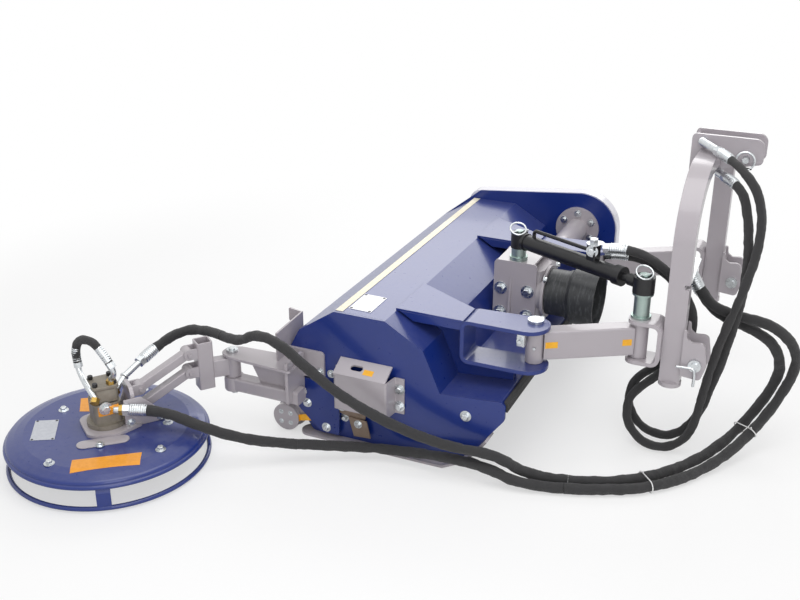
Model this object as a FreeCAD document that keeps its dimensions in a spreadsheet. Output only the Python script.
"""Side-shift flail mulcher with an inter-row disc head.

The deck's own frame: X forward to the tractor, Y to the left, Z up. Its zero is the outer
face of the right side plate, on the floor. Every finished piece is then set over so that
the origin lies under the middle of the machine.
"""
import FreeCAD, Part
import math
import os

Vec = FreeCAD.Vector
Turn = FreeCAD.Rotation
doc = FreeCAD.newDocument("mulcher")

# Driving dimensions, in millimetres, degrees and whole counts.
SIZES = [
    ("origin_x", 207, "deck frame to origin, forward"),
    ("origin_y", -288, "deck frame to origin, to the left"),
    ("deck_width", 1200, "over the two side plates"),
    ("side_plate", 8, "thickness of a side plate"),
    ("hood_sheet", 6, "thickness of the folded hood"),
    ("deck_top", 434, "height of the flat top panel"),
    ("seat_gap", 0.3, "gap at a seat between two pieces"),
    ("swing_gap", 1, "gap between a swinging boss and its clevis plate"),
    ("shaft_fit", 0.05, "gap round a turning shaft or pin"),
    ("rotor_x", -215, "rotor axis, forward"),
    ("rotor_z", 190, "rotor axis, height"),
    ("rotor_radius", 70, "rotor tube"),
    ("flail_tip", 158, "rotor axis to the flails' tips"),
    ("flail_count", 16, "pairs of flails along the rotor"),
    ("rotor_shaft", 25, "radius of the rotor's shaft"),
    ("roller_x", -483, "roller axis, forward"),
    ("roller_radius", 50, "rear roller"),
    ("roller_shaft", 15, "radius of the roller's shaft"),
    ("roller_plate", 8.6, "thickness of the roller's arms and brackets"),
    ("skid_sheet", 8, "thickness of a skid"),
    ("skid_width", 60, "width of a skid"),
    ("belt_depth", 62, "depth of the belt cover"),
    ("gear_x", 100, "gearbox, cross shaft, forward"),
    ("gear_y", 560, "gearbox, drive line, to the left"),
    ("gear_z", 372, "gearbox axes, height"),
    ("gear_half", 58, "gearbox casting, middle to side"),
    ("mount_sheet", 8, "thickness of the gearbox mount"),
    ("guard_radius", 92, "shaft guard, wide end, outside"),
    ("guard_step", 16, "shaft guard, narrow end under wide end"),
    ("guard_wall", 4, "shaft guard wall"),
    ("input_radius", 17.5, "splined end of the input shaft"),
    ("arm_rear_x", 262, "deck clevis pivot, forward"),
    ("arm_rear_y", 160, "right deck clevis pivot, to the left"),
    ("arm_reach_x", 270, "arm pivot to pivot, forward"),
    ("arm_reach_y", 162, "arm pivot to pivot, to the left"),
    ("arm_pitch", 690, "right arm to left arm"),
    ("arm_mid_z", 375, "height of the arms' middle"),
    ("arm_height", 90, "height of an arm's tube"),
    ("arm_width", 50, "width of an arm's tube"),
    ("arm_wall", 5, "wall of an arm's tube"),
    ("boss_height", 112, "height of an arm's pivot boss"),
    ("boss_radius", 27, "radius of an arm's pivot boss"),
    ("clevis_sheet", 12, "thickness of a clevis plate"),
    ("clevis_half", 42, "half the width of a clevis plate"),
    ("pivot_pin", 15, "radius of an arm's pivot pin"),
    ("leg_x", 605, "rear face of the hitch arch"),
    ("leg_depth", 60, "hitch arch tube, front to rear"),
    ("leg_width", 40, "hitch arch tube, side to side"),
    ("leg_wall", 5, "wall of the hitch arch tube"),
    ("leg_foot_z", 258, "lower end of the hitch arch"),
    ("arch_z", 865, "middle of the hitch arch's top"),
    ("arch_bend", 195, "bend of the hitch arch, to its middle line"),
    ("link_pin_z", 336, "height of the lower link pins"),
    ("link_pin", 11, "radius of a lower link pin"),
    ("link_reach", 41, "front face of the arch to the lower link pins"),
    ("link_gap", 54, "between a pair of lower link plates"),
    ("link_sheet", 10, "thickness of a link plate"),
    ("top_pin", 9.5, "radius of the top link pin"),
    ("mast_height", 531, "lower link pins to the top link pin"),
    ("top_gap", 60, "between the top link plates"),
    ("cylinder_radius", 25, "barrel of the side-shift cylinder"),
    ("rod_radius", 12.5, "rod of the side-shift cylinder"),
    ("cylinder_z", 548, "height of the cylinder's axis"),
    ("cylinder_rear_x", 84, "cylinder's rear pin, forward"),
    ("cylinder_rear_y", 525, "cylinder's rear pin, to the left"),
    ("cylinder_pin", 12.5, "radius of the cylinder's rear pin"),
    ("rod_eye", 32, "radius of the rod's eye"),
    ("disc_x", -895, "disc axis, forward"),
    ("disc_y", -385, "disc axis, to the left"),
    ("disc_radius", 304, "disc cover over its rim"),
    ("disc_top", 112, "height of the disc cover's flat"),
    ("disc_rim", 38, "depth of the disc cover's rim"),
    ("disc_sheet", 4, "thickness of the disc cover"),
    ("ring_rod", 7, "radius of the ring guard's rod"),
    ("post_x", -705, "lift post, forward"),
    ("post_y", -135, "lift post, to the left"),
    ("post_side", 50, "side of the lift post"),
    ("swing_x", -640, "disc arm's upright pin, forward"),
    ("swing_y", -72, "disc arm's upright pin, to the left"),
    ("swing_pin", 11, "radius of the disc arm's upright pin"),
    ("lift_reach", 175, "lift links, pin to pin"),
    ("lift_drop", 26, "fall of the lift links from the post, degrees"),
    ("lift_upper_z", 290, "upper lift pin on the post"),
    ("lift_lower_z", 228, "lower lift pin on the post"),
    ("lift_pin", 6, "radius of a lift link's pin"),
    ("lift_width", 30, "width of a lift link"),
    ("ear_sheet", 6, "thickness of the ears round a lift link"),
    ("motor_shaft", 12.5, "radius of the disc motor's shaft"),
    ("hose_radius", 16.5, "sleeved hose, outside"),
    ("cylinder_hose", 14, "hoses of the side-shift cylinder, outside"),
]

sheet = doc.addObject("Spreadsheet::Sheet", "sizes")
for row, (alias, number, note) in enumerate(SIZES, start=1):
    sheet.set("A%d" % row, alias)
    sheet.set("B%d" % row, str(number))
    sheet.set("C%d" % row, note)
    sheet.setAlias("B%d" % row, alias)
doc.recompute()


def size(alias):
    """A driving dimension, as a plain number."""
    return float(sheet.get(alias))


nodes = {}


def node(label, thing):
    """Files a finished piece under its name."""
    thing.Label = label
    nodes[label] = thing
    return thing


# ---------------------------------------------------------------- drawing

PLANES = {"XY": "XY_Plane", "XZ": "XZ_Plane", "YZ": "YZ_Plane"}
UP = Vec(0, 0, 1)
LEFT = Vec(0, 1, 0)
FORWARD = Vec(1, 0, 0)


def rounded(points):
    """Closed outline through (a, b) or (a, b, radius) corners, as lines and arcs."""
    corners = [Vec(p[0], p[1], 0) for p in points]
    radii = [p[2] if len(p) > 2 else 0 for p in points]
    count = len(corners)
    starts, ends, arcs = [], [], []
    for i in range(count):
        here, before, after = corners[i], corners[i - 1], corners[(i + 1) % count]
        if radii[i] == 0:
            starts.append(here)
            ends.append(here)
            arcs.append(None)
            continue
        back = (before - here).normalize()
        on = (after - here).normalize()
        half = back.getAngle(on) / 2
        cut = radii[i] / math.tan(half)
        centre = here + (back + on).normalize() * (radii[i] / math.sin(half))
        first, last = here + back * cut, here + on * cut
        middle = centre + (here - centre).normalize() * radii[i]
        starts.append(first)
        ends.append(last)
        arcs.append((first, middle, last))
    shapes = []
    for i in range(count):
        if arcs[i]:
            shapes.append(Part.Arc(*arcs[i]))
        following = starts[(i + 1) % count]
        if ends[i].distanceToPoint(following) > 1e-6:
            shapes.append(Part.LineSegment(ends[i], following))
    return shapes


def sheet_outline(path, wall, bend=0):
    """Outline of a folded sheet: a path and its copy one wall to the right of it."""
    points = [Vec(p[0], p[1], 0) for p in path]
    runs = [(b - a).normalize() for a, b in zip(points, points[1:])]
    rights = [Vec(run.y, -run.x, 0) for run in runs]
    near = [(points[0].x, points[0].y)]
    far = [points[0] + rights[0] * wall]
    far = [(far[0].x, far[0].y)]
    for i in range(1, len(points) - 1):
        mitre = (rights[i - 1] + rights[i]).normalize()
        inside = points[i] + mitre * (wall / mitre.dot(rights[i]))
        to_right = runs[i - 1].cross(runs[i]).z < 0
        wide, tight = bend + wall, bend
        near.append((points[i].x, points[i].y, wide if to_right else tight))
        far.append((inside.x, inside.y, tight if to_right else wide))
    if not bend:
        near = [p[:2] for p in near]
        far = [p[:2] for p in far]
    last = points[-1] + rights[-1] * wall
    near.append((points[-1].x, points[-1].y))
    far.append((last.x, last.y))
    return near + far[::-1]


def sketch_on(body, plane, at, outlines, circles=()):
    """A sketch on one of the body's own planes, moved `at` along X, Y or Z."""
    sketch = body.newObject("Sketcher::SketchObject", body.Name + "Sketch")
    support = [f for f in body.Origin.OriginFeatures if f.Role == PLANES[plane]][0]
    sketch.AttachmentSupport = [(support, "")]
    sketch.MapMode = "FlatFace"
    sign = "-" if plane == "XZ" else ""
    sketch.setExpression("AttachmentOffset.Base.z", "%s(%s)" % (sign, at))
    for outline in outlines:
        for piece in rounded(outline):
            sketch.addGeometry(piece, False)
    for a, b, radius in circles:
        sketch.addGeometry(Part.Circle(Vec(a, b, 0), UP, radius), False)
    return sketch


def slab(name, plane, at, thickness, outlines, circles=()):
    """A flat piece: outlines and round holes padded from `at` up the plane's world axis."""
    body = doc.addObject("PartDesign::Body", name)
    pad = body.newObject("PartDesign::Pad", name + "Pad")
    pad.Profile = sketch_on(body, plane, at, outlines, circles)
    pad.setExpression("Length", str(thickness))
    pad.Reversed = plane == "XZ"
    return body


def turned(name, profile, centre, upright=True):
    """A round piece: a closed profile of (radius, height) about Z, or (along, radius) about X."""
    body = doc.addObject("PartDesign::Body", name)
    sketch = sketch_on(body, "XZ" if upright else "XY", "0", [profile])
    turn = body.newObject("PartDesign::Revolution", name + "Turn")
    turn.Profile = sketch
    turn.ReferenceAxis = (sketch, ["V_Axis" if upright else "H_Axis"])
    turn.Angle = 360
    body.Placement.Base = centre
    return body


def bar(name, start, end, radius):
    """A round bar or pin between two points."""
    rod = doc.addObject("Part::Cylinder", name)
    span = end - start
    rod.setExpression("Radius", str(radius))
    rod.Height = span.Length
    rod.Placement = FreeCAD.Placement(start, Turn(UP, span))
    return rod


def pipe(name, start, end, outer, inner):
    """A round tube between two points."""
    over = (end - start).normalize()
    cut = doc.addObject("Part::Cut", name)
    cut.Base = bar(name + "Outside", start, end, outer)
    cut.Tool = bar(name + "Bore", start - over, end + over, inner)
    return cut


def fused(name, pieces):
    """Pieces welded into one."""
    weld = doc.addObject("Part::MultiFuse", name)
    weld.Shapes = pieces
    weld.Refine = True
    return weld


def without(name, base, tools):
    """A piece less the tools."""
    cut = doc.addObject("Part::Cut", name)
    cut.Base = base
    cut.Tool = tools[0] if len(tools) == 1 else fused(name + "Tools", tools)
    return cut


def shared(name, one, other):
    """What two pieces share: a side shape trimmed to a plan shape."""
    common = doc.addObject("Part::Common", name)
    common.Base = one
    common.Tool = other
    return common


def beside(name, pieces):
    """Like pieces that don't touch, kept as one node."""
    pair = doc.addObject("Part::Compound", name)
    pair.Links = pieces
    return pair


def box_tube(name, start, end, width, height, wall):
    """A rectangular tube between two points, its width level."""
    length = (end - start).Length
    body = slab(name, "YZ", "0", length,
                [[(-width / 2, -height / 2, wall), (width / 2, -height / 2, wall),
                  (width / 2, height / 2, wall), (-width / 2, height / 2, wall)],
                 [(wall - width / 2, wall - height / 2), (width / 2 - wall, wall - height / 2),
                  (width / 2 - wall, height / 2 - wall), (wall - width / 2, height / 2 - wall)]])
    body.Placement = FreeCAD.Placement(start, level_turn(end - start))
    return body


def level_turn(run):
    """The turn that lays +X along a run and keeps +Y level."""
    across = UP.cross(run).normalize()
    return Turn(run, across, run.cross(across), "XYZ")




def softened(name, body, plane_y, radius):
    """The body with its edges in the plane y = plane_y rounded over."""
    doc.recompute()
    edges = []
    for number, edge in enumerate(body.Shape.Edges, start=1):
        box = edge.BoundBox
        if abs(box.YMin - plane_y) < 0.01 and abs(box.YMax - plane_y) < 0.01:
            edges.append((number, radius, radius))
    fillet = doc.addObject("Part::Fillet", name)
    fillet.Base = body
    fillet.Edges = edges
    return fillet


# ---------------------------------------------------------------- deck

width = size("deck_width")
plate = size("side_plate")
gap = size("seat_gap")
top = size("deck_top")
REAR = (-475, 285)
NAPE = (-440, 352)
RIDGE = (-150, top)
CREASE = (-27, 362)
SHELF = (29, 232)
LIP = (218, 246)
HOOD = [(-475, 215), REAR, NAPE, (-319, top), RIDGE, CREASE, SHELF, LIP, (228, 236), (226, 212)]
SILL = [(33, 229), (60, 188), (226, 216)]
NOSE = [(232, 236), (232, 190), (172, 115)]
SOLE = [(-440, 0), (50, 0), (110, 30), (160, 78), (190, 121)]
ON_HOOD = sheet_outline([RIDGE, CREASE, SHELF, LIP], -gap)[4:][::-1]
BETWEEN = "sizes.deck_width - 2 * sizes.side_plate"


def on_shelf(x):
    """Height of the hood's front shelf at x."""
    share = (x - SHELF[0]) / (LIP[0] - SHELF[0])
    return SHELF[1] + share * (LIP[1] - SHELF[1]) + gap


def side_outline(top_edge):
    """Side plate: its top edge, down round the nose and back along the skid."""
    seat = sheet_outline(SOLE[::-1], size("skid_sheet") + gap)[len(SOLE):][::-1]
    nose = [(NOSE[0][0], NOSE[0][1], 8), (NOSE[1][0], NOSE[1][1], 25)]
    return top_edge + nose + seat[:-1] + [(-400, seat[-1][1], 20), (-475, 120, 30)]


def hood():
    """Folded hood whose front shelf and sill make a beam across the deck."""
    wall = size("hood_sheet")
    skin = slab("HoodSkin", "XZ", "sizes.side_plate", BETWEEN, [sheet_outline(HOOD, wall)])
    sill = slab("HoodSill", "XZ", "sizes.side_plate", BETWEEN, [sheet_outline(SILL, wall)])
    node("hood", fused("Hood", [skin, sill]))


def side_plates():
    """The right plate follows the hood. The left one rises round the belt drive."""
    hole = (size("rotor_x"), size("rotor_z"), size("rotor_shaft") + size("shaft_fit"))
    edge = [REAR, NAPE, (-319, top), RIDGE, CREASE, SHELF, (LIP[0], LIP[1], 8)]
    right = slab("RightPlate", "XZ", "0", "sizes.side_plate", [side_outline(edge)], [hole])
    node("side_plate_right", right)
    lobe = [REAR, NAPE, (-295, 468, 12), (243, 521.7, 133), (243, 300, 60), (222, 246, 10)]
    left = slab("LeftPlate", "XZ", "sizes.deck_width - sizes.side_plate", "sizes.side_plate",
                [side_outline(lobe)], [hole, (size("gear_x"), size("gear_z"), 30)])
    node("side_plate_left", left)


def belt_cover():
    """Closed cover of the belt drive, outside the left plate, its outer edge rounded."""
    depth = size("belt_depth")
    cover = slab("BeltCoverShell", "XZ", "sizes.deck_width", "sizes.belt_depth",
                 [[(-340, 462, 45), (248, 524, 138), (248, 235, 120), (-150, 62, 95), (-345, 100, 95)]])
    node("belt_cover", softened("BeltCover", cover, width + depth, 16))


def skids():
    """Sole plates with a round heel, turned up at the nose and wider than the plates."""
    ledge = 30
    wide = size("skid_width") + 4
    for name, at in (("skid_right", -ledge), ("skid_left", width + ledge - wide)):
        solid = name.title().replace("_", "")
        profile = slab(solid + "Profile", "XZ", str(at), str(wide),
                       [sheet_outline(SOLE[::-1], size("skid_sheet"))])
        heel = wide / 2 - 0.1
        plan = slab(solid + "Plan", "XY", "0", "300",
                    [[(-440, at, heel), (260, at), (260, at + wide), (-440, at + wide, heel)]])
        node(name, shared(solid, profile, plan))


def roller_mounts():
    """Grey arms with bearing housings at the roller, under the blue brackets bolted on."""
    x, r = size("roller_x"), size("roller_radius")
    fit = size("roller_shaft") + size("shaft_fit")
    arm = [(-388, 186, 10), (-452, 186, 10), (-527, 58), (-470, 10, 30), (-440, 40), (-388, 95, 15)]
    near = slab("RollerArmRight", "XZ", "-sizes.seat_gap - sizes.roller_plate", "sizes.roller_plate",
                [arm])
    far = slab("RollerArmLeft", "XZ", "sizes.deck_width + sizes.seat_gap", "sizes.roller_plate", [arm])
    reach = 30
    housings = [bar("RollerHousingRight", Vec(x, -reach, r), Vec(x, -gap, r), "45"),
                bar("RollerHousingLeft", Vec(x, width + gap, r), Vec(x, width + reach, r), "45")]
    bore = bar("RollerBore", Vec(x, -reach + 5, r), Vec(x, width + reach - 5, r), str(fit))
    arms = [without("RollerArmOnRight", fused("RollerCastRight", [near, housings[0]]), [bore]),
            without("RollerArmOnLeft", fused("RollerCastLeft", [far, housings[1]]), [bore])]
    node("roller_arms", beside("RollerArms", arms))
    right = [(-462, 202, 10), (-300, 192, 15), (-300, 20, 10), (-365, 20, 30), (-445, 95, 40)]
    left = [(-462, 202, 10), (-372, 197, 10), (-356, 60, 10), (-372, 27, 10), (-445, 95, 40)]
    plates = [slab("RollerBracketRight", "XZ", "-2 * sizes.seat_gap - 2 * sizes.roller_plate",
                   "sizes.roller_plate", [right]),
              slab("RollerBracketLeft", "XZ",
                   "sizes.deck_width + 2 * sizes.seat_gap + sizes.roller_plate",
                   "sizes.roller_plate", [left])]
    node("roller_brackets", beside("RollerBrackets", plates))


def gearbox():
    """Bevel gearbox: rounded casting, ribbed round front flange, neck to the belt drive."""
    x, y, z = size("gear_x"), size("gear_y"), size("gear_z")
    half = size("gear_half")
    face = x + 85
    case = slab("GearCase", "XY", str(z - 85), "170",
                [[(x - 75, y - half, 24), (x + 75, y - half, 24), (x + 75, y + half, 24),
                  (x - 75, y + half, 24)]])
    flange = turned("GearFlange", [(57, 0), (57, 70), (72, 70), (76, 84), (76, 86), (85, 86), (85, 0)],
                    Vec(x, y, z), False)
    cap = turned("GearCap", [(-83, 0), (-83, 44), (-80, 48), (-70, 48), (-70, 0)], Vec(x, y, z), False)
    neck = bar("GearNeck", Vec(x, y, z), Vec(x, y + 80, z), 62)
    bore = bar("GearBore", Vec(x - 40, y, z), Vec(face + 5, y, z), "19 + sizes.shaft_fit")
    node("gearbox", without("Gearbox", fused("GearCasting", [case, flange, cap, neck]), [bore]))
    start, end = y + 80 + gap, width - plate - gap
    pieces = [bar("TubeBarrel", Vec(x, start, z), Vec(x, end, z), 40),
              bar("TubeRear", Vec(x, start, z), Vec(x, start + 12, z), 60),
              bar("TubeFlange", Vec(x, end - 12, z), Vec(x, end, z), 82)]
    bored = bar("TubeBore", Vec(x, start - 5, z), Vec(x, end + 5, z), 34)
    node("shaft_tube", without("ShaftTube", fused("ShaftTubeWeld", pieces), [bored]))
    step = 0.3
    neck_y = Vec(face + step, y, z)
    shaft = [bar("InputJournal", Vec(x - 38, y, z), neck_y, 19),
             bar("InputSplines", neck_y, neck_y + FORWARD * 119.7, "sizes.input_radius")]
    node("input_shaft", fused("InputShaft", shaft))


def gearbox_mount():
    """Two cheeks and a lid welded on the shelf round the gearbox, with the cylinder's post."""
    x, y = size("gear_x"), size("gear_y")
    wall = size("mount_sheet")
    near = y - size("gear_half") - gap - wall
    far = y + size("gear_half") + gap
    front, back, high = x + 57, x - 87, 482
    slope = (CREASE[0] - SHELF[0]) / (CREASE[1] - SHELF[1])
    heel = SHELF[0] + slope * (272 - SHELF[1]) + 2 * gap
    cheek = [(SHELF[0] + 2, on_shelf(SHELF[0] + 2)), (front - 7, on_shelf(front - 7)), (front, 300, 40),
             (front, high, 14), (back, high, 14), (heel, 272)]
    cheeks = [slab("MountNear", "XZ", str(near), "sizes.mount_sheet", [cheek]),
              slab("MountFar", "XZ", str(far), "sizes.mount_sheet", [cheek])]
    notch = bar("MountNotch", Vec(x, y, size("gear_z")), Vec(x, far + 20, size("gear_z")), 62 + gap)
    cheeks[1] = without("MountFarNotched", cheeks[1], [notch])
    lid = slab("MountLid", "XY", "%g - sizes.mount_sheet" % high, "sizes.mount_sheet",
               [[(back + 10, near + 1), (front - 10, near + 1), (front - 10, far + wall - 1),
                 (back + 10, far + wall - 1)]])
    rib_foot = on_shelf(x - 30) + 1
    ribs = [slab("MountRibNear", "YZ", str(x - 34), "8",
                 [[(near + 1, rib_foot), (near - 16, rib_foot), (near + 1, 445)]]),
            slab("MountRibFar", "YZ", str(x - 84), "8",
                 [[(far + wall - 1, 300), (far + wall - 1, 470), (far + wall + 12, 300)]])]
    node("gearbox_mount", fused("GearboxMount", cheeks + [lid] + ribs))
    seat = high + gap
    axle = size("cylinder_pin")
    eye_foot = size("cylinder_z") - 25 - gap
    profile = [(0, seat), (29, seat), (29, seat + 12), (24, seat + 12), (24, eye_foot),
               (axle, eye_foot), (axle, size("cylinder_z") + 32), (0, size("cylinder_z") + 32)]
    node("cylinder_post", turned("CylinderPost", profile,
                                 Vec(size("cylinder_rear_x"), size("cylinder_rear_y"), 0)))


def shaft_guard():
    """Black guard round the input shaft: a narrow base and a wider bell over it, open ahead."""
    start = size("gear_x") + 85 + gap
    wide, wall = size("guard_radius"), size("guard_wall")
    narrow = wide - size("guard_step")
    step, mouth = start + 72, start + 165
    centre = Vec(0, size("gear_y"), size("gear_z"))
    base = [(start, 30), (start, narrow), (step + 10, narrow), (step + 10, narrow - wall),
            (start + wall, narrow - wall), (start + wall, 30)]
    node("guard_base", turned("GuardBase", base, centre, False))
    slip = narrow + gap
    bell = [(step - 6, slip), (step - 6, slip + wall), (step, slip + wall), (step + 12, wide),
            (mouth, wide), (mouth, wide - wall), (step + 12, wide - wall), (step + 6, slip)]
    node("guard_bell", turned("GuardBell", bell, centre, False))


def swing_brackets():
    """Bent clevises on webs and a roof from the hood's ridge, which hold the swing arms."""
    wall = size("clevis_sheet")
    reach = size("boss_height") / 2 + size("swing_gap") + wall
    high, low = size("arm_mid_z") + reach, size("arm_mid_z") - reach
    px, heel, tip = size("arm_rear_x"), 57, size("arm_rear_x") + 47
    deep = "sizes.clevis_sheet"
    for side, shift in (("right", 0), ("left", size("arm_pitch"))):
        y = size("arm_rear_y") + shift
        bent = slab("ClevisBend" + side, "XZ", str(y - 90), "140",
                    [sheet_outline([(tip + 10, low), (heel, low), (heel, high), (tip + 10, high)], wall, 14)])
        plan = slab("ClevisPlan" + side, "XY", str(low - 5), str(high - low + 10),
                    [[(heel - 5, y - 80), (tip, y - 80, 62), (tip, y + 37, 45), (heel - 5, y + 20)]],
                    [(px, y, size("pivot_pin") + gap)])
        clevis = shared("Clevis" + side, bent, plan)
        ridge = ON_HOOD[0]
        roof = slab("BracketRoof" + side, "XY", str(ridge[1]), "8",
                    [[(ridge[0] - 2, y - 74), (heel + 8, y - 78), (heel + 8, y + 20), (ridge[0] - 2, y + 140)]])
        hem = slab("BracketHem" + side, "XZ", str(y - 77), "6",
                   [[(ridge[0] + 12, ridge[1] + 2), (heel + 6, ridge[1] + 2), (heel + 6, ridge[1] - 24),
                     (ridge[0] + 56, ridge[1] - 24)]])
        web = [ON_HOOD[0], ON_HOOD[1], ON_HOOD[2], (px - 57, on_shelf(px - 57)), (px - 57, low + 2),
               (heel + 3, low + 2), (heel + 3, ridge[1] + 2), (ridge[0], ridge[1] + 2)]
        webs = [slab("BracketWeb%s%d" % (side, k), "XZ", str(y + at), "8", [web])
                for k, at in enumerate((-10, 12))]
        whole = fused("BracketWeld" + side, [clevis, roof, hem] + webs)
        if side == "left":
            at = Vec(size("gear_x"), y - 100, size("gear_z"))
            whole = without("BracketPierced", whole, [bar("TubePassage", at, at + LEFT * 200, 48)])
        node("swing_bracket_" + side, whole)


def deck_pins():
    """Headed pins in the deck's two clevises."""
    wall = size("clevis_sheet")
    reach = size("boss_height") / 2 + size("swing_gap") + wall
    high, low = size("arm_mid_z") + reach + gap, size("arm_mid_z") - reach
    pins = []
    for k, shift in enumerate((0, size("arm_pitch"))):
        foot = Vec(size("arm_rear_x"), size("arm_rear_y") + shift, 0)
        head = bar("DeckPinHead%d" % k, foot + UP * high, foot + UP * (high + 9), 24)
        shank = bar("DeckPinShank%d" % k, foot + UP * (low - 10), foot + UP * (high + 5), "sizes.pivot_pin")
        pins.append(fused("DeckPin%d" % k, [head, shank]))
    node("deck_pins", beside("DeckPins", pins))


def flaps():
    """Rubber flap behind, hinged flaps under the sill, and the ribbed strip on the lip."""
    back = REAR[0] - gap - 6
    node("rear_flap", slab("RearFlap", "XZ", "100", "sizes.deck_width - 120",
                           [[(back, 112), (back + 6, 112), (back + 6, 270), (back, 270)]]))
    x, z = 141, 172
    rod = bar("FlapRod", Vec(x, plate + gap, z), Vec(x, width - plate - gap, z), 6)
    count = 12
    pitch = (width - 60) / count
    pieces = [rod]
    for k in range(count):
        y = 30 + pitch * (k + 0.5)
        half = pitch / 2 - 4
        eye = bar("FlapEye%d" % k, Vec(x, y - half, z), Vec(x, y + half, z), 10)
        leaf = slab("FlapLeaf%d" % k, "XZ", str(y - half), str(2 * half),
                    [[(x - 10, z), (x - 5, z), (x + 1, z - 56), (x - 4, z - 56)]])
        pieces += [eye, leaf]
    node("front_flaps", fused("FrontFlaps", pieces))
    strip = slab("StripBase", "XZ", "sizes.side_plate", BETWEEN,
                 [[(228 + gap, 214), (237, 214), (240, 222), (238, 240), (231, 250), (226, 249),
                   (228 + gap, 240)]])
    node("front_strip", strip)


def rotor():
    """Rotor tube with a helix of paired flails: bent, tapered blades on lugs."""
    x, z = size("rotor_x"), size("rotor_z")
    start, end = plate + 12, width - plate - 12
    tube_radius, tip = size("rotor_radius"), size("flail_tip")
    axle = Part.makeCylinder(size("rotor_shaft"), width + 21, Vec(x, -22, z), LEFT)
    parts = [Part.makeCylinder(tube_radius, end - start, Vec(x, start, z), LEFT), axle]
    count = int(size("flail_count"))
    pitch = (end - start - 60) / (count - 1)
    lug = [(tube_radius - 8, -16), (tube_radius + 20, -13, 8), (tube_radius + 20, 13, 8), (tube_radius - 8, 16)]
    blade = [(tube_radius + 4, -5), (tip - 22, -5), (tip, 14), (tip - 6, 20), (tip - 26, 5), (tube_radius + 4, 5)]
    for i in range(count):
        for turn in (0, 180):
            pair = [extruded(lug, 5, -11), extruded(lug, 5, 6), extruded(blade, 36, -18)]
            for piece in pair:
                piece.rotate(Vec(0, 0, 0), LEFT, turn + i * 67.5)
                piece.translate(Vec(x, start + 30 + pitch * i, z))
            parts += pair
    thing = doc.addObject("Part::Feature", "Rotor")
    thing.Shape = parts[0].multiFuse(parts[1:])
    node("flail_rotor", thing)


def extruded(outline, thickness, at):
    """A flat plate in XZ whose faces lie at y = at and at + thickness."""
    face = Part.Face(Part.Wire(rounded_edges(outline)))
    face.rotate(Vec(0, 0, 0), FORWARD, 90)
    face.translate(LEFT * at)
    return face.extrude(LEFT * thickness)


def rounded_edges(outline):
    """The outline's lines and arcs as edges."""
    return [piece.toShape() for piece in rounded(outline)]


def roller():
    """Rear roller with end caps and stub shafts."""
    x, r = size("roller_x"), size("roller_radius")
    drum = bar("RollerDrum", Vec(x, plate + 6, r), Vec(x, width - plate - 6, r), "sizes.roller_radius")
    shaft = bar("RollerShaft", Vec(x, -20, r), Vec(x, width + 20, r), "sizes.roller_shaft")
    node("roller", fused("Roller", [drum, shaft]))


# ---------------------------------------------------------------- hitch

front = Vec(size("arm_rear_x") + size("arm_reach_x"), size("arm_rear_y") + size("arm_reach_y"), 0)
middle = front.y + size("arm_pitch") / 2
leg_front = size("leg_x") + size("leg_depth")


def swing_arms():
    """Rectangular tubes with a long round boss at each end."""
    mid = size("arm_mid_z")
    half = size("boss_height") / 2
    for side, shift in (("right", 0), ("left", size("arm_pitch"))):
        rear = Vec(size("arm_rear_x"), size("arm_rear_y") + shift, mid)
        ahead = Vec(front.x, front.y + shift, mid)
        run = (ahead - rear).normalize()
        inset = size("boss_radius") - size("arm_wall")
        tube = box_tube("ArmTube" + side, rear + run * inset, ahead - run * inset,
                        size("arm_width"), size("arm_height"), size("arm_wall"))
        bosses = []
        bores = []
        for end, point in (("Rear", rear), ("Front", ahead)):
            low, high = point - UP * half, point + UP * half
            bosses.append(bar("ArmBoss" + end + side, low, high, "sizes.boss_radius"))
            bores.append(bar("ArmBore" + end + side, low - UP * 5, high + UP * 5,
                             "sizes.pivot_pin + sizes.shaft_fit"))
        whole = fused("ArmWeld" + side, [tube] + bosses)
        node("swing_arm_" + side, without("SwingArm" + side, whole, bores))


def hitch_arch():
    """One rectangular tube bent to a portal, on round feet, with its locking slot."""
    x0, foot = size("leg_x"), size("leg_foot_z")
    half, crown, bend = size("leg_width") / 2, size("arch_z"), size("arch_bend")
    right, left = front.y, front.y + size("arm_pitch")
    outline = [(right - half, foot), (right - half, crown + half, bend + half),
               (left + half, crown + half, bend + half), (left + half, foot), (left - half, foot),
               (left - half, crown - half, bend - half), (right + half, crown - half, bend - half),
               (right + half, foot)]
    arch = slab("ArchTube", "YZ", "sizes.leg_x", "sizes.leg_depth", [outline])
    mid_x = x0 + size("leg_depth") / 2
    pieces = [arch]
    for k, y in enumerate((right, left)):
        pieces.append(bar("ArchFoot%d" % k, Vec(mid_x, y, foot - 12), Vec(mid_x, y, foot + 1), 33.5))
    slot = slab("ArchSlot", "XZ", str(right - half - 5), "50",
                [[(leg_front - 14, 558, 3), (leg_front + 5, 558), (leg_front + 5, 572), (leg_front - 14, 572, 3)]])
    node("hitch_arch", without("HitchArch", fused("ArchWeld", pieces), [slot]))


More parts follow.
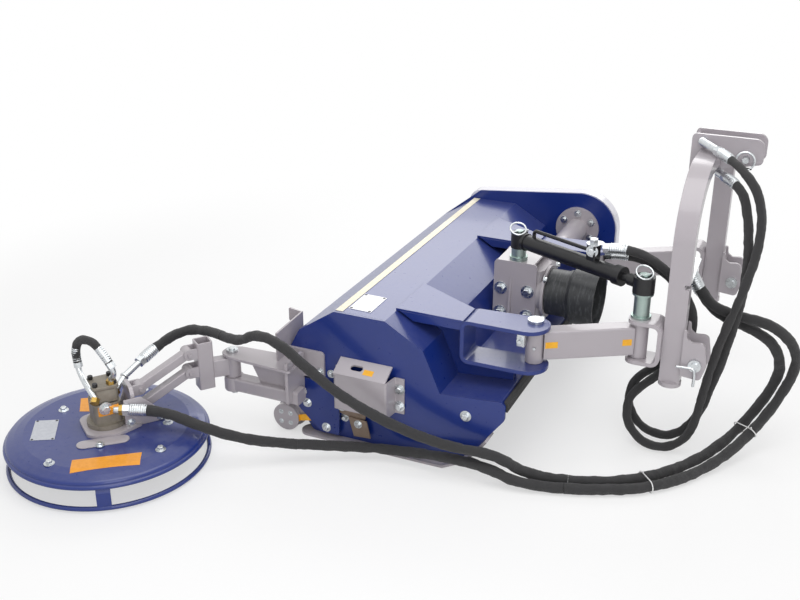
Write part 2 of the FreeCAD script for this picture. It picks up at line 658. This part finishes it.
def hitch_clevises():
    """Sheet bent to a U on the rear face of each leg, round the arms' front bosses."""
    wall = size("clevis_sheet")
    reach = size("boss_height") / 2 + size("swing_gap") + wall
    high, low = size("arm_mid_z") + reach, size("arm_mid_z") - reach
    half, seat = size("clevis_half"), size("leg_x") - gap
    clevises = []
    for k, y in enumerate((front.y, front.y + size("arm_pitch"))):
        bent = slab("HitchBend%d" % k, "XZ", str(y - half), str(2 * half),
                    [sheet_outline([(front.x - 50, high), (seat, high), (seat, low), (front.x - 50, low)],
                                   wall, 16)])
        plan = slab("HitchPlan%d" % k, "XY", str(low - 5), str(high - low + 10),
                    [[(front.x - 32, y - half, 30), (seat + 5, y - half), (seat + 5, y + half),
                      (front.x - 32, y + half, 30)]], [(front.x, y, size("pivot_pin") + gap)])
        clevises.append(shared("HitchClevis%d" % k, bent, plan))
    node("hitch_clevises", beside("HitchClevises", clevises))
    eye_foot = size("cylinder_z") - 25 - gap
    pins = []
    for k, y in enumerate((front.y, front.y + size("arm_pitch"))):
        seat_z = high + gap
        foot = [(0, low - 12), (15, low - 12), (15, seat_z), (30, seat_z), (30, seat_z + 7)]
        spacer = [(24, seat_z + 7), (24, eye_foot - 6), (31, eye_foot - 6), (31, eye_foot), (0, eye_foot)]
        cap = [(24, seat_z + 7), (24, seat_z + 12), (0, seat_z + 12)]
        profile = foot + (cap if k else spacer)
        pins.append(turned("HitchPin%d" % k, profile, Vec(front.x, y, 0)))
    node("hitch_pins", beside("HitchPins", pins))


def link_plates():
    """Pairs of plates for the lower links, on the front faces of the legs."""
    z, x = size("link_pin_z"), leg_front + size("link_reach")
    wall, half = size("link_sheet"), size("link_gap") / 2
    seat = leg_front + gap
    inset = 3.5
    outline = [(seat, z + 104), (seat + 8, z + 102, 6), (seat + 10, z + 78, 14), (x - 16, z + 68, 12),
               (x + 22, z + 71, 16), (x + 33, z, 60), (x + 18, z - 48, 14), (seat, z - 42)]
    plates = []
    pins = []
    for side, y in (("Right", front.y + inset), ("Left", front.y + size("arm_pitch") - inset)):
        pair = []
        for k, at in enumerate((y - half - wall, y + half)):
            pair.append(slab("LinkPlate%s%d" % (side, k), "XZ", str(at), "sizes.link_sheet", [outline],
                             [(x, z, size("link_pin") + gap)]))
        back = slab("LinkBack" + side, "YZ", str(seat), "8",
                    [[(y - half - 1, z - 42), (y + half + 1, z - 42), (y + half + 1, z + 74),
                      (y - half - 1, z + 74)]])
        plates.append(fused("LinkPlates" + side, pair + [back]))
        ends = half + wall + 14
        pins.append(fused("LinkPin" + side,
                          [bar("LinkShank" + side, Vec(x, y - ends, z), Vec(x, y + ends, z), "sizes.link_pin"),
                           bar("LinkHead" + side, Vec(x, y - half - wall - gap - 9, z),
                               Vec(x, y - half - wall - gap, z), 19)]))
    node("link_plates", beside("LinkPlates", plates))
    node("link_pins", beside("LinkPins", pins))


def top_link_bracket():
    """Two plates welded round the crown of the arch, with a bridge and the top link's pin."""
    z, x = size("link_pin_z") + size("mast_height"), leg_front + size("link_reach") + 31
    wall, half = 10, size("top_gap") / 2
    x0, crown, tube = size("leg_x"), size("arch_z"), size("leg_width") / 2
    window = [(x0 - gap, crown - tube - gap), (leg_front + gap, crown - tube - gap),
              (leg_front + gap, crown + tube + gap), (x0 - gap, crown + tube + gap)]
    outline = [(x0 - 30, z - 69, 14), (x - 60, z - 38, 40), (x + 48, z - 13, 14), (x + 48, z + 61, 26),
               (x0 - 30, z + 61, 14)]
    plates = [slab("TopPlate%d" % k, "XZ", str(at), str(wall), [outline, window],
                   [(x, z, size("top_pin") + gap)])
              for k, at in enumerate((middle - half - wall, middle + half))]
    bridge = slab("TopBridge", "YZ", str(x0 - 24), "8",
                  [[(middle - half - 1, z - 45), (middle + half + 1, z - 45), (middle + half + 1, z + 50),
                    (middle - half - 1, z + 50)]])
    node("top_link_bracket", fused("TopBracket", plates + [bridge]))
    ends = half + wall + 22
    pin = bar("TopShank", Vec(x, middle - ends, z), Vec(x, middle + ends, z), "sizes.top_pin")
    head = bar("TopHead", Vec(x, middle + half + wall + gap, z), Vec(x, middle + half + wall + 8, z), 17)
    node("top_link_pin", fused("TopPin", [pin, head]))


def cylinder():
    """Side-shift cylinder: barrel on the deck's post, port block and pipe, rod to the hitch pin."""
    z = size("cylinder_z")
    rear = Vec(size("cylinder_rear_x"), size("cylinder_rear_y"), z)
    ahead = Vec(front.x, front.y, z)
    run = (ahead - rear).normalize()
    side = UP.cross(run)
    length = (ahead - rear).Length
    radius, rod = size("cylinder_radius"), size("rod_radius")
    mouth = length - 75
    eye = bar("RearEyeBar", rear - UP * 25, rear + UP * 25, 27)
    tube = bar("BarrelBar", rear + run * 20, rear + run * mouth, "sizes.cylinder_radius")
    gland = bar("BarrelGland", rear + run * (mouth - 28), rear + run * mouth, radius + 5)
    collar = bar("BarrelCollar", rear + run * 24, rear + run * 34, radius + 3)
    port_at = rear + run * 300 + UP * (radius - 6)
    block = slab("PortBlock", "XY", "0", "52",
                 [[(-17, -15, 4), (17, -15, 4), (17, 15, 4), (-17, 15, 4)]])
    block.Placement = FreeCAD.Placement(port_at, level_turn(run))
    lift = UP * (radius + 22)
    bend = [rear + run * 62 + UP * (radius - 4), rear + run * 62 + lift, port_at + UP * 28 - run * 10]
    pipe_line = tube_along("HardPipe", bend, 6, 18)
    cavity = bar("BarrelCavity", rear + run * 40, rear + run * (mouth + 5), rod + 0.1)
    axle = bar("RearEyeBore", rear - UP * 30, rear + UP * 30, size("cylinder_pin") + 0.05)
    whole = fused("BarrelWeld", [eye, tube, gland, collar, block, pipe_line])
    node("cylinder_barrel", without("CylinderBarrel", whole, [cavity, axle]))
    shank = bar("RodBar", rear + run * 46, ahead - run * 24, "sizes.rod_radius")
    head = bar("RodEyeBar", ahead - UP * 25, ahead + UP * 25, "sizes.rod_eye")
    neck = bar("RodNeck", ahead - run * 52, ahead - run * 24, rod + 6)
    bore = bar("RodEyeBore", ahead - UP * 30, ahead + UP * 30, "sizes.pivot_pin + 0.05")
    node("cylinder_rod", without("CylinderRod", fused("RodWeld", [shank, head, neck]), [bore]))
    node("rod_pin", bar("RodPin", ahead - UP * 25, ahead + UP * 32, "sizes.pivot_pin"))
    return port_at, run, side


def tube_along(name, points, radius, bend=None):
    """A round bar swept along straight runs with tangent arcs at its corners."""
    pieces = []
    starts = points[0]
    smallest = None
    for before, here, after in zip(points, points[1:], points[2:]):
        back, on = (before - here), (after - here)
        half = (math.pi - back.getAngle(on)) / 2
        cut = 0.45 * min(back.Length, on.Length)
        if bend:
            cut = min(cut, bend * math.tan(half))
        back.normalize()
        on.normalize()
        turn = cut / math.tan(half)
        smallest = turn if smallest is None else min(smallest, turn)
        first, last = here + back * cut, here + on * cut
        centre = here + (back + on).normalize() * (turn / math.cos(half))
        through = centre + (here - centre).normalize() * turn
        pieces.append(Part.LineSegment(starts, first))
        pieces.append(Part.Arc(first, through, last))
        starts = last
    pieces.append(Part.LineSegment(starts, points[-1]))
    wire = Part.Wire([piece.toShape() for piece in pieces])
    ring = Part.Wire(Part.Circle(points[0], points[1] - points[0], radius).toShape())
    thing = doc.addObject("Part::Feature", name)
    thing.Shape = wire.makePipeShell([ring], True, True)
    expected = math.pi * radius * radius * wire.Length
    share = thing.Shape.Volume / expected
    print("%-20s length %6.0f least bend %5.0f volume share %.3f" % (name, wire.Length, smallest, share))
    return thing


# ---------------------------------------------------------------- disc head

out = Vec(size("disc_x") - size("post_x"), size("disc_y") - size("post_y"), 0).normalize()
across = Vec(-out.y, out.x, 0)
post_foot = Vec(size("post_x"), size("post_y"), 0)
at_post = FreeCAD.Placement(post_foot, Turn(FORWARD, out))
disc = Vec(size("disc_x"), size("disc_y"), 0)
disc_reach = (disc - post_foot).Length
lift_inset = size("post_side") / 2 + size("lift_width") / 2 + 10
drop = math.radians(size("lift_drop"))
lift_step = Vec(size("lift_reach") * math.cos(drop), 0, -size("lift_reach") * math.sin(drop))
post_pivots = [Vec(lift_inset, 0, size("lift_upper_z")), Vec(lift_inset, 0, size("lift_lower_z"))]
head_pivots = [pivot + lift_step for pivot in post_pivots]


def in_head(thing):
    """Places a piece drawn in the post's frame, X out to the disc."""
    thing.Placement = at_post.multiply(thing.Placement)
    return thing


def outrigger():
    """Fixed arm for the disc head: tube, triangular top plate and an angle behind the deck."""
    x, y = size("swing_x"), size("swing_y")
    tube_z, half = 164.5, 22.5
    tube = slab("OutriggerTube", "YZ", str(x - 20), "262",
                [[(y - 25, tube_z - half, 8), (y + 25, tube_z - half, 8), (y + 25, tube_z + half, 8),
                  (y - 25, tube_z + half, 8)]])
    nose = bar("OutriggerNose", Vec(x, y, tube_z - half), Vec(x, y, tube_z + half), 30)
    high = 262
    roof = slab("OutriggerRoof", "XY", str(high), "8",
                [[(x - 28, y - 22, 22), (x + 10, y - 40, 30), (x + 232, y - 52, 10), (x + 232, y + 52, 10),
                  (x + 10, y + 40, 30), (x - 28, y + 22, 22)]])
    wall = slab("OutriggerWall", "YZ", str(x + 214), "10",
                [[(y - 48, tube_z - 10), (-19, tube_z - 10), (-19, high + 30, 8), (y - 48, high + 30, 8)]])
    back = REAR[0] - gap
    angle = slab("OutriggerAngle", "YZ", str(back - 6), "6",
                 [[(y, tube_z), (-24, tube_z), (-24, 206), (90, 206), (90, 370), (y, 362)]])
    flange = slab("OutriggerFlange", "XZ", "84", "6",
                  [[(back - 48, 335), (back - 3, 300), (back - 3, 370), (back - 48, 376, 4)]])
    web = slab("OutriggerWeb", "XZ", str(y - 4), "8",
               [[(x + 110, tube_z), (x + 218, tube_z), (x + 218, high + 2), (x + 60, high + 2)]])
    hole = bar("OutriggerHole", Vec(x, y, 100), Vec(x, y, 300), "sizes.swing_pin + 0.3")
    whole = fused("OutriggerWeld", [tube, nose, roof, wall, angle, flange, web])
    node("outrigger", without("Outrigger", whole, [hole]))
    shank = bar("SwingPinShank", Vec(x, y, tube_z - half - 14), Vec(x, y, high + 20), "sizes.swing_pin")
    head = bar("SwingPinHead", Vec(x, y, high + 8 + gap), Vec(x, y, high + 16), 18)
    node("swing_pin", fused("SwingPin", [shank, head]))


def outrigger_mount():
    """Grey plate on the side plate and the bent lower bracket under it."""
    near = gap + size("roller_plate")
    face = slab("MountFace", "XZ", str(-near), "sizes.roller_plate",
                [[(-474.7, 207), (-352, 207, 6), (-352, 292, 14), (-474.7, 292)]])
    rise = slab("MountRise", "XY", "207", "20", [[(-440, -19), (-400, -19), (-400, -near + 1), (-440, -near + 1)]])
    node("outrigger_mount", fused("OutriggerMount", [face, rise]))


def end_guard():
    """Folded guard over the rotor's bearing: hat section, sloping roof with an oval hole."""
    rear, fore, deep, wall = -292, -118, 52, 5
    plan = [(rear - 22, -gap), (rear, -gap), (rear, -deep), (fore - 6, -deep), (fore, -gap), (fore + 34, -gap)]
    box = slab("GuardFolds", "XY", "140", "118", [sheet_outline(plan, wall, 4)])
    roof = slab("GuardRoof", "YZ", str(rear - wall), str(fore - rear + wall - 6),
                [[(-deep - wall, 254), (-gap, 284), (-gap, 290), (-deep - wall, 260)]])
    oval = slab("GuardOval", "XY", "240", "70",
                [[(rear + 42, -36, 8.9), (rear + 82, -36, 8.9), (rear + 82, -18, 8.9), (rear + 42, -18, 8.9)]])
    node("end_guard", without("EndGuard", fused("EndGuardFolded", [box, roof]), [oval]))


def swing_post():
    """Knuckle on the upright pin, stub and square upright with ears for the lift links."""
    x, y = size("swing_x"), size("swing_y")
    low, high = 188, 261
    knuckle = bar("SwingKnuckle", Vec(x, y, low), Vec(x, y, high), 24)
    hole = bar("SwingKnuckleHole", Vec(x, y, low - 5), Vec(x, y, high + 5), "sizes.swing_pin + sizes.shaft_fit")
    run = post_foot - Vec(x, y, 0)
    mid = Vec(0, 0, (low + high) / 2)
    stub = box_tube("SwingStub", Vec(x, y, 0) + mid + run.normalize() * 14,
                    post_foot + mid - run * 12, 34, 60, 5)
    side, wall = size("post_side"), 5
    half = side / 2
    bore = half - wall
    tube = slab("SwingUpright", "XY", "165", "157",
                [[(-half, -half, 6), (half, -half, 6), (half, half, 6), (-half, half, 6)]])
    well = slab("SwingWell", "XY", "175", "150",
                [[(-bore, -bore), (bore, -bore), (bore, bore), (-bore, bore)]])
    ears = []
    inner = size("lift_width") / 2 + 0.5
    for k, pivot in enumerate(post_pivots):
        for hand, at in (("A", inner), ("B", -inner - size("ear_sheet"))):
            ears.append(slab("PostEar%d%s" % (k, hand), "XZ", str(at), "sizes.ear_sheet",
                             [[(half - 3, pivot.z - 17), (pivot.x + 16, pivot.z - 17, 15),
                               (pivot.x + 16, pivot.z + 17, 15), (half - 3, pivot.z + 17)]]))
        ends = LEFT * (inner + size("ear_sheet") + 8)
        ears.append(bar("PostPin%d" % k, pivot - ends, pivot + ends, "sizes.lift_pin"))
    for piece in [tube, well] + ears:
        in_head(piece)
    whole = fused("SwingPostWeld", [knuckle, stub, tube])
    cored = without("SwingPostCored", whole, [hole, well])
    node("swing_post", fused("SwingPost", [cored] + ears))


def lift_links():
    """Two parallel links with eyes, which carry the head at its height."""
    half = size("lift_width") / 2
    for name, start, end, play in (("upper", post_pivots[0], head_pivots[0], 0),
                                   ("lower", post_pivots[1], head_pivots[1], 1.5)):
        tube = box_tube("LiftBar" + name, start, end, size("lift_width"), 28, 4)
        eyes = [bar("LiftEye%s%d" % (name, k), at - LEFT * half, at + LEFT * half, 17)
                for k, at in enumerate((start, end))]
        holes = [bar("LiftHole%s%d" % (name, k), at - LEFT * 30, at + LEFT * 30,
                     "sizes.lift_pin + sizes.shaft_fit + %g" % (play * k))
                 for k, at in enumerate((start, end))]
        link = without("LiftLink" + name, fused("LiftWeld" + name, [tube] + eyes), holes)
        node("lift_link_" + name, in_head(link))


def disc_carrier():
    """Head plate with ears, base plate with gussets and the long triangular arm of the cover."""
    floor_z = size("disc_top") + gap
    x = disc_reach
    base = slab("CarrierBase", "XY", str(floor_z), "10",
                [[(x - 92, -58, 12), (x - 10, -88, 40), (x + 72, -62, 34), (x + 72, 62, 34), (x - 10, 88, 40),
                  (x - 92, 58, 12)]], [(x, 0, 30)])
    seat = head_pivots[0].x + 27
    plate_high = head_pivots[0].z + 22
    head = slab("CarrierHead", "YZ", str(seat), "12",
                [[(-46, floor_z + 2), (46, floor_z + 2), (46, plate_high - 20, 10), (30, plate_high, 16),
                   (-30, plate_high, 16), (-46, plate_high - 20, 10)]])
    inner = size("lift_width") / 2 + 0.5
    pieces = [base, head]
    for hand, at in (("A", 38), ("B", -44)):
        pieces.append(slab("CarrierGusset" + hand, "XZ", str(at), "6",
                           [[(seat + 8, floor_z + 5), (x - 44, floor_z + 5), (x - 44, floor_z + 22), (seat + 8, plate_high - 30)]]))
    for k, pivot in enumerate(head_pivots):
        for hand, at in (("A", inner), ("B", -inner - size("ear_sheet"))):
            pieces.append(slab("HeadEar%d%s" % (k, hand), "XZ", str(at), "sizes.ear_sheet",
                               [[(pivot.x - 16, pivot.z - 17, 15), (seat + 3, pivot.z - 17),
                                 (seat + 3, pivot.z + 17), (pivot.x - 16, pivot.z + 17, 15)]]))
        ends = LEFT * (inner + size("ear_sheet") + 8)
        pieces.append(bar("HeadPin%d" % k, pivot - ends, pivot + ends, "sizes.lift_pin"))
    node("disc_carrier", in_head(fused("DiscCarrier", pieces)))


def disc_cover():
    """Dished cover with a rolled rim, and the ring guard hung under it on strap brackets."""
    high, rim, r, sheet_wall = size("disc_top"), size("disc_rim"), size("disc_radius"), size("disc_sheet")
    hub, roll = 46, 7
    profile = [(hub, high), (r - 60, high), (r - 34, high - 6), (r - roll, high - 16, 12), (r - roll, high - rim + roll),
               (r - roll - sheet_wall, high - rim + roll), (r - roll - sheet_wall, high - 18, 8),
               (r - 36, high - 6 - sheet_wall), (r - 61, high - sheet_wall), (hub, high - sheet_wall)]
    shell = turned("DiscShell", profile, disc)
    bead = doc.addObject("Part::Torus", "DiscBead")
    bead.Radius1 = r - roll
    bead.Radius2 = roll
    bead.Placement.Base = disc + UP * (high - rim + roll)
    node("disc_cover", fused("DiscCover", [shell, bead]))
    rod = size("ring_rod")
    lie = rod + 5
    ring = doc.addObject("Part::Torus", "RingGuardHoop")
    ring.Radius1 = r - rod
    ring.setExpression("Radius2", "sizes.ring_rod")
    ring.Placement.Base = disc + UP * lie
    straps = [ring]
    foot = high - rim
    for k in range(4):
        strap = slab("RingStrap%d" % k, "XZ", "-20", "40",
                     [[(r - rod - 3, lie), (r - rod + 3, lie), (r - rod + 3, foot - 12, 3), (r - rod - 3, foot - gap),
                       (r - 32, foot - gap), (r - 32, foot - 5), (r - rod - 9, foot - 5, 3), (r - rod - 3, foot - 14)]])
        strap.Placement = FreeCAD.Placement(disc, Turn(UP, 35 + 90 * k))
        straps.append(strap)
    node("ring_guard", fused("RingGuard", straps))


def disc_motor():
    """Cast hydraulic motor on a round flange, its fittings and hard line, and the knives."""
    foot = size("disc_top") + 10 + 2 * gap
    lie = FreeCAD.Placement(disc, Turn(FORWARD, out))
    flange = bar("MotorFlange", disc + UP * foot, disc + UP * (foot + 14), 58)
    body = slab("MotorBody", "XY", str(foot + 8), "72",
                [[(-42, -42, 16), (42, -42, 16), (42, 42, 16), (-42, 42, 16)]])
    body.Placement = lie.multiply(body.Placement)
    lid = bar("MotorLid", disc + UP * (foot + 70), disc + UP * (foot + 88), 32)
    supply, bend = [Vec(*point) for point in HOSE_POINTS["hose_disc_supply"][:2]]
    rise = Vec(-905, -340, 182)
    elbow = supply - (bend - supply).normalize() * 80
    back = Vec(*HOSE_POINTS["hose_disc_return"][0])
    ahead = (Vec(*HOSE_POINTS["hose_disc_return"][1]) - back).normalize()
    fittings = [bar("MotorRise", rise, elbow, 9), bar("MotorLine", elbow, supply, 9),
                doc.addObject("Part::Sphere", "MotorElbow"),
                bar("MotorReturn", back - ahead * 44, back, 11)]
    fittings[2].Radius = 11
    fittings[2].Placement.Base = elbow
    core = bar("MotorCore", disc + UP * (foot - 5), disc + UP * (foot + 60), "sizes.motor_shaft + sizes.shaft_fit")
    whole = fused("MotorCast", [flange, body, lid] + fittings)
    node("disc_motor", without("DiscMotor", whole, [core]))
    hub = bar("KnifeHub", disc + UP * 52, disc + UP * 92, 28)
    spindle = bar("KnifeSpindle", disc + UP * 60, disc + UP * (foot + 50), "sizes.motor_shaft")
    tip = size("disc_radius") - 34
    blades = []
    for k in range(3):
        knife = slab("Knife%d" % k, "XY", "55", "6",
                     [[(10, -20), (tip - 30, -20), (tip, 2, 4), (tip - 8, 20, 4), (10, 20)]])
        knife.Placement = FreeCAD.Placement(disc, Turn(UP, 120 * k)).multiply(knife.Placement)
        blades.append(knife)
    node("knife_rotor", fused("KnifeRotor", [hub, spindle] + blades))


# ---------------------------------------------------------------- hoses

HOSE_POINTS = {
    "hose_disc_return": [(-811, -380, 180), (-728, -338, 178), (-616, -325, 146), (-480, -245, 78),
                         (-360, -175, 62)],
    "hose_disc_supply": [(-885, -203, 251), (-862, -104, 290), (-772, -48, 318), (-670, -76.4, 318)],
    "hose_return_deck": [(-360, -175, 62), (-240, -105, 46), (-90, -38, 32), (60, -46, 52), (190, -56, 60),
                         (310, -46, 18), (421, -10, 18)],
    "hose_supply_deck": [(-668, -77, 318), (-600, -96, 318), (-525, -116, 372), (-436, -124, 360),
                         (-345, -120, 290), (-225, -112, 212), (-60, -90, 140), (95, -68, 104),
                         (222, -50, 104), (316, 8, 18), (421, 36, 18)],
    "hose_return_hitch": [(422, -10, 18), (520, 22, 18), (670, 110, 17), (800, 300, 17), (900, 480, 90),
                          (976, 539, 259), (957, 500, 360), (885, 478, 422), (800, 470, 430),
                          (692, 478, 450), (640, 478, 545)],
    "hose_supply_hitch": [(422, 36, 18), (518, 62, 18), (650, 163, 17), (765, 335, 17), (850, 490, 70),
                          (928, 554, 216), (917, 508, 326), (852, 490, 388), (700, 505, 415),
                          (640, 522, 513)],
    "hose_lift_barrel": [(404, 402, 612), (518, 402, 628), (600, 405, 547)],
    "hose_drop_barrel": [(405, 421, 585), (512, 446, 594), (594, 445, 521)],
    "hose_lift_hitch": [(601, 405, 546), (674, 408, 474), (668, 408, 330), (600, 405, 235), (508, 385, 153),
                        (508, 355, 73), (568, 334, 17), (653, 334, 17), (713, 355, 73), (727, 391, 210),
                        (755, 398, 373), (802, 400, 540), (828, 432, 690), (812, 440, 815), (742, 460, 893),
                        (672, 537, 902)],
    "hose_drop_hitch": [(595, 445, 520), (665, 444, 458), (655, 446, 335), (585, 446, 245), (500, 440, 170),
                        (500, 413, 86), (560, 397, 28), (648, 397, 22), (709, 419, 81), (747, 432, 209),
                        (778, 431, 363), (798, 432, 500), (799, 446, 628), (779, 456, 763), (745, 501, 820),
                        (697, 565, 820)],
}


def hoses():
    """Sleeved hoses, split where two bodies move past each other."""
    for name, points in HOSE_POINTS.items():
        radius = size("cylinder_hose") if "lift" in name or "drop" in name else size("hose_radius")
        spots = [Vec(*point) for point in points]
        node(name, tube_along(name.title().replace("_", ""), spots, radius))


def hose_couplings():
    """Couplings of the cylinder's hoses on the top bracket, and of the head's on the near leg."""
    plate_y = middle - size("top_gap") / 2 - 10
    stems = []
    for k, name in enumerate(("hose_lift_hitch", "hose_drop_hitch")):
        before, end = Vec(*HOSE_POINTS[name][-2]), Vec(*HOSE_POINTS[name][-1])
        over = end - before
        elbow = end + over * ((plate_y - 20 - end.y) / over.y)
        ball = doc.addObject("Part::Sphere", "TopBall%d" % k)
        ball.Radius = 12
        ball.Placement.Base = elbow
        foot = Vec(elbow.x, plate_y - gap, elbow.z)
        stems.append(fused("TopCoupling%d" % k, [bar("TopStem%d" % k, end, elbow, 12), ball,
                                                bar("TopStud%d" % k, elbow, foot, 12)]))
    inner = front.y + size("leg_width") / 2 + gap
    far = HOSE_POINTS["hose_supply_hitch"][-1][1] + 24
    shelf_z = 564
    pieces = [slab("CouplingShelf", "XY", str(shelf_z), "6",
                   [[(606, inner), (664, inner), (656, far, 12), (606, far, 12)]])]
    for k, name in enumerate(("hose_return_hitch", "hose_supply_hitch")):
        before, end = Vec(*HOSE_POINTS[name][-2]), Vec(*HOSE_POINTS[name][-1])
        over = end - before
        pieces.append(bar("LegCoupling%d" % k, end, end + over * ((shelf_z + 42 - end.z) / over.z), 12))
    node("hose_couplings", beside("HoseCouplings", stems + [fused("LegCouplings", pieces)]))


hood()
side_plates()
belt_cover()
skids()
roller_mounts()
gearbox()
gearbox_mount()
shaft_guard()
swing_brackets()
deck_pins()
flaps()
rotor()
roller()
swing_arms()
hitch_arch()
hitch_clevises()
link_plates()
top_link_bracket()
cylinder()
outrigger()
outrigger_mount()
end_guard()
swing_post()
lift_links()
disc_carrier()
disc_cover()
disc_motor()
hoses()
hose_couplings()

doc.recompute()
shift = FreeCAD.Placement(Vec(size("origin_x"), size("origin_y"), 0), Turn())
for thing in nodes.values():
    thing.Placement = shift.multiply(thing.Placement)
doc.recompute()

for thing in doc.Objects:
    if "Invalid" in thing.State or "Error" in thing.State:
        raise RuntimeError("%s did not build" % thing.Label)
os.makedirs("parts", exist_ok=True)
for label, thing in nodes.items():
    shape = thing.Shape
    if shape.isNull() or not shape.isValid() or not shape.Solids:
        raise RuntimeError("%s is not a sound solid" % label)
    shape.exportStep("parts/%s.step" % label)
    print("%-22s solids %d volume %.0f" % (label, len(shape.Solids), shape.Volume))
